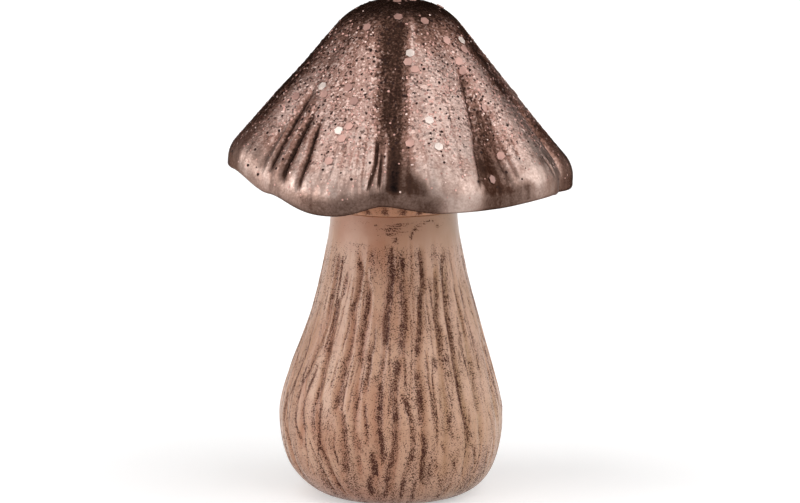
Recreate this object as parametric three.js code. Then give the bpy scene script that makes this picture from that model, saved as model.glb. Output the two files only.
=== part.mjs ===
// Mushroom ornament: a hollow ceramic cap with a folded brim, closed from below by a gilled
// underside, cemented on a hollow pear-shaped stem that stands on a felt disc.
// Large hexagonal glitter flakes are glued to the cap.
// Millimetres, +Z up. The origin is the middle of the felt's lower face, and -Y is the front.
// An azimuth is in degrees from the front, growing towards +X.
import * as THREE from "three";

// Gap left between two pieces that meet
const jointGap = 0.3;

// Felt disc under the foot
const feltRadius = 15;
const feltThickness = 1.6;
const feltProud = 0.3; // how far the felt stands below the foot

// Stem
const neckHeight = 87; // of the crease between stem and underside
const neckRadius = 18.9;
const bellyHeight = 24;
const bellyRadius = 33.7;
const footRadius = 18;
const stemWall = 3;
const footFullness = 9; // how far the foot's curve runs outwards before it rises
const bellyDrop = 15; // how far the belly's curve hangs below its widest height
const bellyRise = 11; // how far it stands above that height
const neckLength = 26.7; // how far the slender neck reaches down
const neckTaper = 1.1; // how much wider the neck is at the end of that reach
const castingHole = 9; // radius of the hole that drained the casting
const spigotRadius = 15;
const spigotWall = 2.8;
const spigotLength = 7;

// Main grooves of the stem: a V across, with shoulders a fixed turn to either side
const grooveDepth = 0.6;
const grooveTurn = 3.1; // degrees from the bottom to a shoulder
const grooveFade = 8; // height over which a groove begins and ends
const grooveFill = 6; // greatest turn in degrees between the columns of a rib
// Grooves on the front, each a line of azimuths and heights from the foot up
const frontGrooves = [
  [[-62, 6], [-67, 24], [-74, 33], [-73, 41]],
  [[-52, 19], [-51, 24], [-56, 38], [-55, 46], [-52, 56], [-53, 72]],
  [[-31, 7], [-37, 19], [-42, 33], [-43, 46], [-45, 60]],
  [[-24, 12], [-25, 26], [-30, 35], [-28, 47], [-29, 60], [-28, 73]],
  [[-16, 12], [-18, 26], [-19, 46], [-18, 63], [-22, 70]],
  [[-9, 4], [-8, 12], [-6, 18], [-7, 33], [-5, 46], [-6, 58], [-2, 71], [0, 76]],
  [[-2, 5], [2, 17], [3, 28], [2, 38], [7, 49], [7, 61], [8, 74]],
  [[13, 4], [17, 9], [16, 36], [15, 47], [19, 60], [23, 69], [24, 76]],
  [[29, 11], [28, 20], [29, 33], [30, 46], [31, 60], [36, 72]],
  [[43, 11], [42, 23], [40, 43], [40, 58], [46, 71]],
  [[52, 20], [52, 36], [53, 45], [54, 61], [56, 66]],
  [[69, 24], [69, 30], [73, 38], [76, 49]],
];
// Grooves on the back: a regular row that sways and ends at alternate heights
const backGrooves = 14;
const backGrooveStart = 88;
const backGrooveSweep = 186;
const backGrooveSway = 2.5; // degrees to either side
const backGrooveWave = 9; // height in which the sway turns by a radian
const backGrooveHeights = [[5, 24, 43, 62], [12, 30, 50, 74]];

// Cement between the spigot and the collar of the underside
const neckCementWall = 1;

// Cap: plain dome before it is folded
const capHeight = 62; // from the neck's crease to the crown
const crownFlat = 3;
const crownLean = 1.7; // how far the crown leans towards +X
const crownRound = 19;
const brimReach = 50.5;
const brimRise = 6; // from the neck's crease to the lip
const brimBend = 11; // radius of the turn from the flank to the lip
const brimDrop = 2; // upright stretch above the lip's rounding
const capWall = 2.8;

// Folds of the brim: lobes and furrows in turn, with how far each stands out and up from the plain
// dome's lip
const brimFolds = [
  { azimuth: -71.5, out: 0.3, up: 7.5 },
  { azimuth: -49, out: -2.4, up: 1 },
  { azimuth: -22, out: 0, up: -2 },
  { azimuth: -4, out: -5, up: 0.5 },
  { azimuth: 19, out: 0, up: -1 },
  { azimuth: 41, out: -3.5, up: -1.5 },
  { azimuth: 63.5, out: 0.5, up: 0 },
  { azimuth: 86, out: -1.5, up: -1.8 },
  { azimuth: 108, out: 5.5, up: -2.5 },
  { azimuth: 131, out: -3.5, up: 0.5 },
  { azimuth: 153, out: 1, up: -0.5 },
  { azimuth: 176, out: -4.5, up: 2 },
  { azimuth: 198, out: 0.5, up: 0.5 },
  { azimuth: 221, out: -3.5, up: 3.5 },
  { azimuth: 243, out: 1, up: 4.5 },
  { azimuth: 266, out: -3, up: 6 },
];
const foldStart = 0.75; // power of the folds' growth: below 1 they begin nearer the crown
const foldTightness = 1.35; // above 1, furrows are narrower than lobes

// Creases pressed into the furrows: a V across, with shoulders a fixed turn to either side
const creaseTurn = 1.8; // degrees from the bottom to a shoulder
const creaseFade = 0.1; // share of the way to the lip over which a crease begins and ends
const creaseFill = 4.4; // greatest turn in degrees between the columns of a lobe
// Creases on the front: depth, and a line of azimuths and shares of the way from the crown to the lip
const frontCreases = [
  { depth: 1.1, line: [[-51, 0.58], [-49.5, 0.75], [-48.5, 0.91]] },
  { depth: 1, line: [[-40.5, 0.63], [-41.5, 0.94]] },
  { depth: 0.9, line: [[-36, 0.7], [-34, 0.82], [-33.8, 0.94]] },
  { depth: 0.9, line: [[-6.8, 0.73], [-5.6, 0.84], [-8.2, 0.94]] },
  { depth: 0.8, line: [[-1.5, 0.74], [-0.5, 0.94]] },
  { depth: 0.9, line: [[45.5, 0.43], [41, 0.57], [38.5, 0.68], [34, 0.79], [31, 0.93]] },
  { depth: 0.6, line: [[50, 0.6], [47, 0.7], [44.5, 0.83], [45.5, 0.94]] },
];
// Creases of the other furrows: a pair beside each furrow's azimuth
const sideFurrows = [86, 131, 176, 221, 266];
const sideCreases = [
  { depth: 0.9, offset: -5.5, start: 0.58, end: 0.93 },
  { depth: 0.8, offset: 4.5, start: 0.66, end: 0.94 },
];

// Underside: a gilled plate inside the brim, with a collar round the spigot
const gillCount = 24;
const gillDepth = 0.8;
const plateWall = 2.4;
const plateRecess = 1.8; // from the lip up to the plate's edge
const plateClearance = 0.5; // between the plate's edge and the cap's inner wall
const flareRise = 4; // how high the neck's flare climbs before it turns outwards
const flareSpread = 1.6;
const plateRun = 14; // nearly level stretch at the plate's edge
const plateSag = 0.8; // how far the inner end of that stretch hangs below the edge
const collarDepth = 8;

// Cement bead between the underside and the cap
const beadWidth = 2.4;
const beadHeight = 1.8;

// Hexagonal glitter flakes
const flakeWidth = 2.4; // across flats
const flakeThickness = 0.15;

// Flakes on the front, by tone: azimuth, and share of the way from the crown to the lip
const frontFlakes = {
  champagne: [[61, 0.32], [9, 0.36], [-45, 0.53], [15, 0.645], [-25, 0.685], [17, 0.755]],
  rose: [
    [-8, 0.07], [47, 0.065], [45, 0.31], [57, 0.36], [7, 0.4], [11, 0.43], [-41, 0.56], [47, 0.405],
    [47, 0.445], [49, 0.61], [-21, 0.665], [-22.5, 0.715], [6, 0.75], [-25, 0.81], [46, 0.815],
  ],
  brown: [[-1, 0.2], [28, 0.22], [-32, 0.25], [-58, 0.61], [-28, 0.505], [-22, 0.56], [37, 0.905]],
};
// Flakes on the back lie on a sunflower spiral, denser towards the crown, with their tones in turn
const backFlakes = 20;
const backTones = ["rose", "brown", "rose", "champagne"];
const backStart = 95;
const backSweep = 170;
const backTop = 0.14;
const backBottom = 0.8;

// Fineness of the faceted surfaces
const plateSteps = 96;
const capRings = 18;
const insideRings = 9;
const lipRings = 3;
const plateRings = 9;
const neckSteps = 64;
const stemRings = 9;
const feltSteps = 48;

// Sizes that follow from the ones above
const totalHeight = neckHeight + capHeight;
const brimLip = neckHeight + brimRise;
const footHeight = feltProud;
const footRecess = feltRadius + jointGap;
const recessHeight = feltThickness + jointGap;
const collarBore = spigotRadius + neckCementWall + 2 * jointGap;
const flakeCorner = flakeWidth / Math.sqrt(3);
const goldenShare = (Math.sqrt(5) - 1) / 2;

const { clamp, degToRad, euclideanModulo, lerp, mapLinear, radToDeg, smoothstep } = THREE.MathUtils;
const point = (radius, height) => new THREE.Vector2(radius, height);

// Azimuth of a line of azimuths and places, held at its ends
function lineAt(line, place) {
  const next = line.findIndex((corner) => corner[1] >= place);
  if (next < 1) return line.at(next)[0];
  const [fromAzimuth, fromPlace] = line[next - 1];
  const [toAzimuth, toPlace] = line[next];
  return mapLinear(place, fromPlace, toPlace, fromAzimuth, toAzimuth);
}

// How far a V-shaped line is pressed in at an azimuth and a place
function pressed(line, azimuth, place, turn, fade) {
  const away = Math.abs(euclideanModulo(azimuth - lineAt(line, place) + 180, 360) - 180);
  const begun = smoothstep(place, line[0][1] - fade / 2, line[0][1] + fade / 2);
  const ended = smoothstep(place, line.at(-1)[1] - fade / 2, line.at(-1)[1] + fade / 2);
  return Math.max(1 - away / turn, 0) * begun * (1 - ended);
}

// Columns of a skin with V-shaped lines: shoulder, bottom, shoulder and the rib up to the next line.
// Each is a function that gives its azimuth at a place.
function columnsAlong(lines, turn, fill) {
  return lines.flatMap((line, index) => {
    const isLast = index === lines.length - 1;
    const here = (place) => lineAt(line, place);
    const next = (place) => lineAt(lines[isLast ? 0 : index + 1], place) + (isLast ? 360 : 0);
    const end = line.at(-1)[1];
    const steps = Math.ceil((next(end) - here(end) - 2 * turn) / fill);
    const rib = Array.from({ length: steps }, (_, step) => (place) => (
      lerp(here(place) + turn, next(place) - turn, step / steps)
    ));
    return [(place) => here(place) - turn, here, ...rib];
  });
}

// All creases of the cap and all main grooves of the stem, in turn round the axis
const creases = [
  ...frontCreases,
  ...sideFurrows.flatMap((furrow) => sideCreases.map(({ depth, offset, start, end }) => (
    { depth, line: [[furrow + offset, start], [furrow + offset, end]] }
  ))),
];
const grooves = [
  ...frontGrooves,
  ...Array.from({ length: backGrooves }, (_, index) => {
    const azimuth = backGrooveStart + (backGrooveSweep * index) / (backGrooves - 1);
    const swayed = (height) => azimuth + backGrooveSway * Math.sin(index + height / backGrooveWave);
    return backGrooveHeights[index % backGrooveHeights.length].map((height) => [swayed(height), height]);
  }),
];

function creaseDepth(azimuth, share) {
  const depths = creases.map(({ depth, line }) => (
    depth * pressed(line, azimuth, share, creaseTurn, creaseFade)
  ));
  return Math.max(...depths);
}

function grooveAt(azimuth, height) {
  const depths = grooves.map((line) => pressed(line, azimuth, height, grooveTurn, grooveFade));
  return grooveDepth * Math.max(...depths);
}

// Reach and lip height of the folded brim at an azimuth. Each run between a lobe and a furrow is a
// smooth step that stays longer near the lobe.
function brimAt(azimuth) {
  const start = brimFolds[0].azimuth;
  const turned = start + euclideanModulo(azimuth - start, 360);
  const index = brimFolds.findLastIndex((fold) => fold.azimuth <= turned);
  const here = brimFolds[index];
  const next = brimFolds[(index + 1) % brimFolds.length];
  const along = (turned - here.azimuth) / euclideanModulo(next.azimuth - here.azimuth, 360);
  const leavesLobe = index % 2 === 0;
  const furrow = smoothstep(leavesLobe ? along : 1 - along, 0, 1) ** foldTightness;
  const share = leavesLobe ? furrow : 1 - furrow;
  return {
    reach: brimReach + lerp(here.out, next.out, share),
    lip: brimLip + lerp(here.up, next.up, share),
  };
}

// Meridian of the plain dome: crown, straight flank tangent to both rounds, brim and lip
function plainMeridian() {
  const crown = point(crownFlat, totalHeight - crownRound);
  const brim = point(brimReach - brimBend, brimLip + capWall / 2 + brimDrop);
  const between = brim.clone().sub(crown);
  const flank = between.angle() + Math.acos((crownRound - brimBend) / between.length());
  const path = new THREE.Path();
  path.moveTo(0, totalHeight);
  path.lineTo(crownFlat, totalHeight);
  path.absarc(crown.x, crown.y, crownRound, Math.PI / 2, flank, true);
  path.absarc(brim.x, brim.y, brimBend, flank, 0, true);
  path.lineTo(brimReach, brimLip + capWall / 2);
  return path;
}

const meridian = plainMeridian();

// Point of the cap's outside: the plain meridian stretched to the reach and lip of its azimuth
function capPoint(azimuth, share) {
  const plain = meridian.getPoint(share);
  const { reach, lip } = brimAt(azimuth);
  const spread = 1 + (reach / brimReach - 1) * (plain.x / brimReach) ** foldStart;
  const stretch = (totalHeight - lip) / (totalHeight - brimLip);
  return point(plain.x * spread, totalHeight - (totalHeight - plain.y) * stretch);
}

// Corner of a section in space at an azimuth, with the lean of all that stands above the lip
function placed(azimuth, { x: radius, y: height }) {
  const lean = (crownLean * Math.max(height - brimLip, 0)) / (totalHeight - brimLip);
  const turn = degToRad(azimuth);
  return new THREE.Vector3(radius * Math.sin(turn) + lean, -radius * Math.cos(turn), height);
}

// Outside and inside of the cap at an azimuth and a share of the way from the crown to the lip
function capSkin(azimuth, share) {
  const here = capPoint(azimuth, share);
  const before = capPoint(azimuth, Math.max(share - 1 / capRings, 0));
  const after = capPoint(azimuth, Math.min(share + 1 / capRings, 1));
  const along = after.sub(before).normalize();
  const inwards = point(along.y, -along.x);
  return {
    outer: here.clone().addScaledVector(inwards, creaseDepth(azimuth, share)),
    inner: share > 0 ? here.clone().addScaledVector(inwards, capWall) : point(0, totalHeight - capWall),
  };
}

// Inside of the cap at an azimuth, from the crown to the lip
function capInside(azimuth) {
  return Array.from({ length: insideRings + 1 }, (_, ring) => capSkin(azimuth, ring / insideRings).inner);
}

// Radius of the cap's inside at a height
function insideRadius(inside, height) {
  const index = clamp(inside.findIndex((corner) => corner.y <= height), 1, inside.length - 1);
  const upper = inside[index - 1];
  const lower = inside[index];
  return lerp(upper.x, lower.x, (upper.y - height) / (upper.y - lower.y));
}

// Section of the cap along a column: the inside from the crown, the rounded lip and the outside back
function capSection(column) {
  const walls = (rings, side) => Array.from({ length: rings + 1 }, (_, ring) => {
    const share = ring / rings;
    return placed(column(share), capSkin(column(share), share)[side]);
  });
  const { outer, inner } = capSkin(column(1), 1);
  const middle = outer.clone().lerp(inner, 0.5);
  const lip = Array.from({ length: lipRings }, (_, ring) => {
    const turn = (Math.PI * (ring + 1)) / (lipRings + 1);
    return placed(column(1), inner.clone().rotateAround(middle, turn));
  });
  return [...walls(insideRings, "inner"), ...lip, ...walls(capRings, "outer").reverse()];
}

// Edge of the underside: its lower and upper corner
function plateEdge(azimuth) {
  const inside = capInside(azimuth);
  const lower = brimAt(azimuth).lip + plateRecess;
  const upper = lower + plateWall;
  return {
    inside,
    lower: point(insideRadius(inside, lower) - plateClearance, lower),
    upper: point(insideRadius(inside, upper) - plateClearance, upper),
  };
}

function plateSection(azimuth) {
  const { lower, upper } = plateEdge(azimuth);
  const flare = new THREE.CubicBezierCurve(
    point(neckRadius, neckHeight),
    point(neckRadius + flareSpread, neckHeight + flareRise),
    point(lower.x - plateRun, lower.y - plateSag),
    lower,
  );
  const gill = gillDepth * (0.5 + 0.5 * Math.cos(degToRad(azimuth * gillCount)));
  const section = [point(collarBore, neckHeight)];
  for (let ring = 0; ring <= plateRings; ring++) {
    const along = ring / plateRings;
    const corner = flare.getPoint(along);
    corner.y -= gill * Math.sin(Math.PI * along);
    section.push(corner);
  }
  section.push(upper);
  for (let ring = plateRings - 1; ring > plateRings / 3; ring -= 2) {
    const corner = flare.getPoint(ring / plateRings);
    section.push(point(corner.x, corner.y + plateWall));
  }
  section.push(point(neckRadius, neckHeight + collarDepth));
  section.push(point(collarBore, neckHeight + collarDepth));
  section.push(section[0].clone());
  return section;
}

function rimCementSection(azimuth) {
  const { inside, upper } = plateEdge(azimuth);
  const bottom = upper.y + jointGap;
  const top = bottom + beadHeight;
  const wallBottom = insideRadius(inside, bottom) - jointGap;
  const wallTop = insideRadius(inside, top) - jointGap;
  const corners = [point(wallBottom - beadWidth, bottom), point(wallBottom, bottom), point(wallTop, top)];
  return [...corners, corners[0].clone()];
}

// Outside of the stem as two curves that meet upright at the belly
const footCurve = new THREE.CubicBezierCurve(
  point(footRadius, footHeight),
  point(footRadius + footFullness, footHeight),
  point(bellyRadius, bellyHeight - bellyDrop),
  point(bellyRadius, bellyHeight),
);
const neckCurve = new THREE.CubicBezierCurve(
  point(bellyRadius, bellyHeight),
  point(bellyRadius, bellyHeight + bellyRise),
  point(neckRadius + neckTaper, neckHeight - neckLength),
  point(neckRadius, neckHeight - jointGap),
);

function stemSection(column) {
  const outline = [...footCurve.getPoints(stemRings), ...neckCurve.getPoints(stemRings).slice(1)];
  const floor = recessHeight + stemWall;
  const bore = spigotRadius - spigotWall;
  const throat = neckHeight - jointGap - stemWall;
  const isHollow = (corner, ring) => ring % 2 === 0 && corner.y > floor && corner.y < throat - stemWall;
  const inside = outline.filter(isHollow).map((corner) => point(corner.x - stemWall, corner.y));
  const section = [
    point(castingHole, recessHeight),
    point(footRecess, recessHeight),
    point(footRecess, footHeight),
    ...outline.map(({ x, y }) => point(x - grooveAt(column(y), y), y)),
    point(spigotRadius, neckHeight - jointGap),
    point(spigotRadius, neckHeight + spigotLength),
    point(bore, neckHeight + spigotLength),
    point(bore, throat),
    ...inside.reverse(),
    point(castingHole, floor),
    point(castingHole, recessHeight),
  ];
  return section.map((corner) => placed(column(corner.y), corner));
}

function neckCementSection() {
  const bottom = neckHeight + jointGap;
  const top = neckHeight + spigotLength;
  const inner = spigotRadius + jointGap;
  const outer = inner + neckCementWall;
  const corners = [point(inner, bottom), point(outer, bottom), point(outer, top), point(inner, top)];
  return [...corners, corners[0].clone()];
}

function feltSection() {
  return [point(0, 0), point(feltRadius, 0), point(feltRadius, feltThickness), point(0, feltThickness)];
}

// Sections of a piece whose section keeps to one azimuth
function spun(sectionAt, steps) {
  return Array.from({ length: steps }, (_, step) => {
    const azimuth = (360 * step) / steps;
    return sectionAt(azimuth).map((corner) => placed(azimuth, corner));
  });
}

// Closed skin through sections in turn round the axis: a lathe gives the faces, whose corners are moved
function skinned(sections) {
  const steps = sections.length;
  const geometry = new THREE.LatheGeometry(sections[0], steps);
  const position = geometry.getAttribute("position");
  for (let step = 0; step <= steps; step++) {
    const section = sections[step % steps];
    section.forEach((corner, ring) => position.setXYZ(step * section.length + ring, ...corner));
  }
  geometry.computeVertexNormals();
  return geometry;
}

// Point of the cap's outside in space
const capSurface = (azimuth, share) => placed(azimuth, capSkin(azimuth, share).outer);

// Glitter flake: a thin hexagonal plate square to the cap under its middle, and lifted clear of it
function flake(azimuth, share) {
  const middle = capSurface(azimuth, share);
  const turn = radToDeg(flakeCorner / capPoint(azimuth, share).x);
  const slide = flakeCorner / meridian.getLength();
  const ahead = capSurface(azimuth + turn, share).sub(middle);
  const behind = capSurface(azimuth - turn, share).sub(middle);
  const above = capSurface(azimuth, share - slide).sub(middle);
  const below = capSurface(azimuth, share + slide).sub(middle);
  const across = ahead.clone().sub(behind);
  const normal = below.clone().sub(above).cross(across).normalize();
  const rise = Math.max(0, ...[ahead, behind, above, below].map((edge) => edge.dot(normal)));
  const plate = new THREE.CylinderGeometry(flakeCorner, flakeCorner, flakeThickness, 6);
  plate.applyQuaternion(new THREE.Quaternion().setFromUnitVectors(new THREE.Vector3(0, 1, 0), normal));
  plate.translate(...middle.addScaledVector(normal, rise + jointGap + flakeThickness / 2));
  return plate;
}

const finishes = {
  bronze: { color: 0x7d5f57, roughness: 0.32, metalness: 0.85 },
  bisque: { color: 0xb8927e, roughness: 0.85, metalness: 0 },
  cement: { color: 0xcfc8bb, roughness: 0.9, metalness: 0 },
  felt: { color: 0x5b4a41, roughness: 1, metalness: 0 },
  champagne: { color: 0xe9d3c4, roughness: 0.2, metalness: 0.7 },
  rose: { color: 0xb98578, roughness: 0.25, metalness: 0.7 },
  brown: { color: 0x7a544c, roughness: 0.25, metalness: 0.7 },
};
const materials = Object.fromEntries(
  Object.entries(finishes).map(([name, finish]) => [name, new THREE.MeshStandardMaterial(finish)]),
);

const ornament = new THREE.Group();

function addPiece(name, geometry, finish) {
  const piece = new THREE.Mesh(geometry, materials[finish]);
  piece.name = name;
  ornament.add(piece);
  return piece;
}

const capColumns = columnsAlong(creases.map(({ line }) => line), creaseTurn, creaseFill);
const stemColumns = columnsAlong(grooves, grooveTurn, grooveFill);

addPiece("cap_shell", skinned(capColumns.map(capSection)), "bronze");
addPiece("gill_plate", skinned(spun(plateSection, plateSteps)), "bisque");
addPiece("rim_cement", skinned(spun(rimCementSection, plateSteps)), "cement");
addPiece("stem_shell", skinned(stemColumns.map(stemSection)), "bisque");
addPiece("neck_cement", skinned(spun(neckCementSection, neckSteps)), "cement");
addPiece("base_felt", skinned(spun(feltSection, feltSteps)), "felt");

for (const [tone, places] of Object.entries(frontFlakes)) {
  places.forEach(([azimuth, share], index) => {
    addPiece(`front_flake_${tone}_${index + 1}`, flake(azimuth, share), tone);
  });
}
for (let index = 0; index < backFlakes; index++) {
  const tone = backTones[index % backTones.length];
  const azimuth = backStart + backSweep * ((index * goldenShare) % 1);
  const share = lerp(backTop, backBottom, (index + 0.5) / backFlakes);
  addPiece(`back_flake_${tone}_${index + 1}`, flake(azimuth, share), tone);
}

export default ornament;
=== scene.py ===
import math

import bpy
import numpy as np
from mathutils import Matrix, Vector, noise


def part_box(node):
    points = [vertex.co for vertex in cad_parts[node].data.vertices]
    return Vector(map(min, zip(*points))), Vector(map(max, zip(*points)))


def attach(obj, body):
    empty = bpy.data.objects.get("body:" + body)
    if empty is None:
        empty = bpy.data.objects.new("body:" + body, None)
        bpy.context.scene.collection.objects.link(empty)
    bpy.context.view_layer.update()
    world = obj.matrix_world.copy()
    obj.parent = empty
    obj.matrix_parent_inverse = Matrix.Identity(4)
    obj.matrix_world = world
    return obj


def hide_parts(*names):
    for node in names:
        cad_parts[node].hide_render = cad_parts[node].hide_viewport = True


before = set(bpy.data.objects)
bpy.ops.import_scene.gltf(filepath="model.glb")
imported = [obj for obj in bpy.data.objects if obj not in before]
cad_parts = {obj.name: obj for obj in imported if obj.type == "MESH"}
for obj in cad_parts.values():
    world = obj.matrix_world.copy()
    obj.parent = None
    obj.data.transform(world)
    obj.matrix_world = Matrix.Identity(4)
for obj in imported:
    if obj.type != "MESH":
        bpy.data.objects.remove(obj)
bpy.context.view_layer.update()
mm = 0.001
scene = bpy.context.scene
scene.view_settings.view_transform = "Standard"
print("frame loaded with", len(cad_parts), "nodes")

# Camera: a long lens, a little above the ornament
cameraLook = {"aim": (1.8, 0, 73.3), "distance": 900, "elevation": 9.5, "lens": 135, "sensor": 36}


def towards(azimuth, elevation):
    side = math.radians(azimuth)
    climb = math.radians(elevation)
    flat = math.cos(climb)
    return Vector((math.sin(side) * flat, -math.cos(side) * flat, math.sin(climb)))


def addHolder(data, place, aim):
    holder = bpy.data.objects.new(data.name, data)
    holder.location = place
    holder.rotation_euler = (aim - place).to_track_quat("-Z", "Y").to_euler()
    scene.collection.objects.link(holder)
    return holder


def addCamera(look):
    aim = Vector(look["aim"]) * mm
    data = bpy.data.cameras.new("photoCamera")
    data.lens = look["lens"]
    data.sensor_width = look["sensor"]
    place = aim + towards(0, look["elevation"]) * look["distance"] * mm
    scene.camera = addHolder(data, place, aim)


addCamera(cameraLook)
print("camera placed")


# Small helpers for arrays
def smooth(value):
    kept = np.clip(value, 0, 1)
    return kept * kept * (3 - 2 * kept)


def ramp(value, ends):
    low, high = ends
    return smooth((value - low) / (high - low))


def plateau(value, starts, stops):
    return ramp(value, starts) * (1 - ramp(value, stops))


def turnedBy(degrees):
    return (degrees + 180) % 360 - 180


def turnsOf(columns):
    return np.arange(columns)[None] * 360 / columns


def sideways(azimuth, place, radius):
    return np.radians(turnedBy(azimuth - place)) * radius


def runAlong(line):
    run = np.append(0, np.cumsum(np.hypot(*np.diff(line, axis=0).T)))
    return run / run[-1]


def noiseOf(x, y, z):
    spots = np.stack(np.broadcast_arrays(x, y, z), -1)
    flat = [noise.noise(spot) for spot in spots.reshape(-1, 3).tolist()]
    return np.array(flat).reshape(spots.shape[:-1])


def roundNoise(azimuth, height, across, along, seed):
    angle = np.radians(azimuth)
    return noiseOf(np.sin(angle) * across + seed, -np.cos(angle) * across - seed, height * along + seed)


def unit(vectors):
    return vectors / np.maximum(np.linalg.norm(vectors, axis=-1, keepdims=True), 1e-12)


def onAxis(azimuth, radius, height, shift=0):
    angle = np.radians(azimuth)
    spots = np.broadcast_arrays(radius * np.sin(angle) + shift, -radius * np.cos(angle), height)
    return np.stack(spots, -1)


def tube(azimuth, radius, *levels):
    return [onAxis(azimuth, radius, level) for level in levels]


# Mesh helpers
def addMesh(name, points, faces, shadeSmooth=True):
    mesh = bpy.data.meshes.new(name)
    mesh.from_pydata((np.asarray(points) * mm).tolist(), [], faces)
    mesh.validate()
    if shadeSmooth:
        mesh.shade_smooth()
    piece = bpy.data.objects.new(name, mesh)
    scene.collection.objects.link(piece)
    return piece


def ringFaces(rows, columns, wrapRows=False):
    faces = []
    for row in range(rows if wrapRows else rows - 1):
        here = row * columns
        there = (row + 1) % rows * columns
        for column in range(columns):
            beside = (column + 1) % columns
            faces.append((here + column, there + column, there + beside, here + beside))
    return faces


def addRings(name, rings, firstPole=None, lastPole=None, wrapRows=False):
    rows, columns = rings.shape[:2]
    points = list(rings.reshape(-1, 3))
    faces = ringFaces(rows, columns, wrapRows)
    if firstPole is not None:
        pole = len(points)
        points.append(firstPole)
        faces += [(pole, column, (column + 1) % columns) for column in range(columns)]
    if lastPole is not None:
        pole = len(points)
        last = (rows - 1) * columns
        points.append(lastPole)
        faces += [(pole, last + (column + 1) % columns, last + column) for column in range(columns)]
    return addMesh(name, points, faces)


def paint(piece, name, values):
    layer = piece.data.attributes.new(name, "FLOAT", "POINT")
    spare = len(piece.data.vertices) - values.size
    layer.data.foreach_set("value", np.append(values.ravel(), values.ravel()[-1:].repeat(spare)))


# Material helpers
def newFinish(name):
    finish = bpy.data.materials.new(name)
    finish.use_nodes = True
    tree = finish.node_tree
    return finish, tree, tree.nodes["Principled BSDF"]


def addNode(tree, kind, **values):
    node = tree.nodes.new(kind)
    for key, value in values.items():
        setattr(node, key, value)
    return node


def feed(node, inputs):
    for name, value in inputs.items():
        socket = node.inputs[name]
        if isinstance(value, bpy.types.NodeSocket):
            node.id_data.links.new(value, socket)
        elif isinstance(value, tuple):
            socket.default_value = (*value, 1)
        else:
            socket.default_value = value


def noiseNode(tree, scale, detail=2, rough=0.5):
    place = addNode(tree, "ShaderNodeTexCoord").outputs["Object"]
    grain = addNode(tree, "ShaderNodeTexNoise")
    feed(grain, {"Vector": place, "Scale": scale, "Detail": detail, "Roughness": rough})
    return grain.outputs["Fac"]


def speckNode(tree, scale):
    place = addNode(tree, "ShaderNodeTexCoord").outputs["Object"]
    cells = addNode(tree, "ShaderNodeTexVoronoi")
    parts = addNode(tree, "ShaderNodeSeparateColor")
    feed(cells, {"Vector": place, "Scale": scale})
    feed(parts, {"Color": cells.outputs["Color"]})
    return parts.outputs["Red"]


def spread(source, fromLow, fromHigh, toLow=0.0, toHigh=1.0, kind="SMOOTHSTEP"):
    node = addNode(source.id_data, "ShaderNodeMapRange", interpolation_type=kind)
    feed(node, {"Value": source, "From Min": fromLow, "From Max": fromHigh})
    feed(node, {"To Min": toLow, "To Max": toHigh})
    return node.outputs["Result"]


def held(source, low, high):
    return spread(source, low, high, kind="LINEAR")


noiseRange = (0.3, 0.7)  # where most of a noise lies


def swing(source, low=0.0, high=1.0):
    return spread(source, *noiseRange, low, high)


def sumOf(first, second, weight=1.0):
    node = addNode(first.id_data, "ShaderNodeMath", operation="MULTIPLY_ADD")
    feed(node, {0: second, 1: weight, 2: first})
    return node.outputs["Value"]


def product(first, second):
    node = addNode(first.id_data, "ShaderNodeMath", operation="MULTIPLY")
    feed(node, {0: first, 1: second})
    return node.outputs["Value"]


def mixColours(share, first, second):
    node = addNode(share.id_data, "ShaderNodeMix", data_type="RGBA")
    feed(node, {"Factor": share, 6: first, 7: second})
    return node.outputs[2]


def addBump(shader, source, strength, depth):
    node = addNode(source.id_data, "ShaderNodeBump")
    feed(node, {"Height": source, "Strength": strength, "Distance": depth * mm})
    feed(shader, {"Normal": node.outputs["Normal"]})


def painted(tree, name):
    return addNode(tree, "ShaderNodeAttribute", attribute_name=name).outputs["Fac"]


def mottle(shader, source, first, second):
    feed(shader, {"Base Color": mixColours(swing(source), first, second)})


# Stage: pale floor, broad soft lights at the sides, a dark room
stage = {
    "floorSide": 14, "floorColour": (0.8, 0.8, 0.8), "floorFill": (0.66, 0.66, 0.66), "floorGlow": 0.4,
    "ceiling": (0.02, 0.02, 0.02), "walls": (0.04, 0.04, 0.04),
    "lights": [  # name, azimuth, elevation, strength, spread
        ("leftSide", -82, 10, 1.85, 50), ("leftFront", -50, 9, 0.45, 45), ("leftTop", -62, 61, 0.85, 45),
        ("leftBack", -143, 8, 0.12, 40), ("front", -4, 38, 0.5, 62), ("frontLow", 2, 8, 0.18, 50),
        ("rightLow", 48, 8, 0.42, 45), ("rightFront", 54, 37, 0.85, 58), ("rightSide", 96, 10, 1.4, 64),
        ("rightTop", 62, 64, 0.45, 45)],
}


def addFloor(look):
    half = look["floorSide"] / 2 / mm
    corners = [(-half, -half, 0), (half, -half, 0), (half, half, 0), (-half, half, 0)]
    floor = addMesh("floor", corners, [(0, 1, 2, 3)], False)
    finish, tree, shader = newFinish("paleFloor")
    path = addNode(tree, "ShaderNodeLightPath")
    seen = sumOf(path.outputs["Is Camera Ray"], path.outputs["Is Glossy Ray"])
    seen = sumOf(seen, path.outputs["Is Transmission Ray"])
    colour = mixColours(seen, look["floorFill"], look["floorColour"])
    glow = spread(seen, 0, 1, 0, look["floorGlow"])
    feed(shader, {"Base Color": colour, "Roughness": 0.9, "Specular IOR Level": 0.0})
    feed(shader, {"Emission Color": (1, 1, 1), "Emission Strength": glow})
    floor.data.materials.append(finish)


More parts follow.
